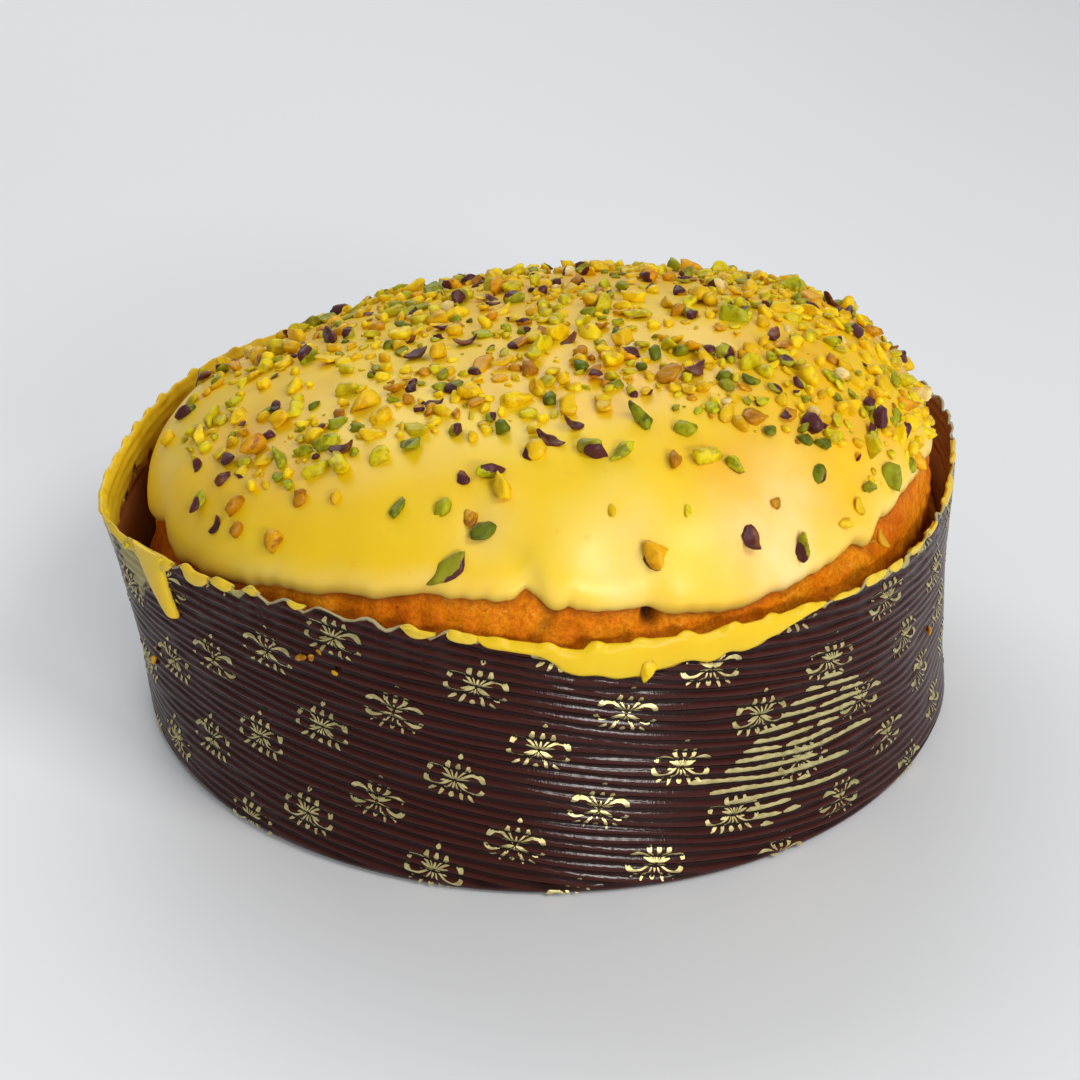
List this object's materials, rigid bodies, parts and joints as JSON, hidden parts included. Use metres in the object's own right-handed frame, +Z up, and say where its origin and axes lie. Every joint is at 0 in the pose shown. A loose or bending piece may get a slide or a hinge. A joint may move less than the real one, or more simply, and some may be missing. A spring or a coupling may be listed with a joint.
{
  "type": "panettone",
  "caption": "Low, round glazed panettone in a corrugated paper case, its domed top iced and scattered with chopped nuts.",
  "frame": {"origin": "on the surface that the case stands on, under the middle of the whole", "axes": "+Z up; -Y is the side whose rim carries the most icing, +X to its right"},
  "size_m": [0.2126, 0.2112, 0.1021],
  "materials": {
    "paper": "corrugated dark brown baking paper with a soft gloss and a printed gold ornament",
    "crust": "matte, fine-grained browned crust",
    "icing": "satin, set icing",
    "gold_print": "printed gold ink with a metallic gloss",
    "nut_yellow": "matte, chopped nut kernel",
    "nut_green": "matte, chopped nut kernel",
    "nut_brown": "matte, chopped nut kernel with skin",
    "nut_purple": "matte, nut skin"
  },
  "bodies": {
    "root": {"paper_case": "paper", "bread": "crust", "icing": "icing", "rim_icing_front": "icing", "rim_icing_drip": "icing", "rim_icing_back": "icing"}
  },
  "joints": []
}
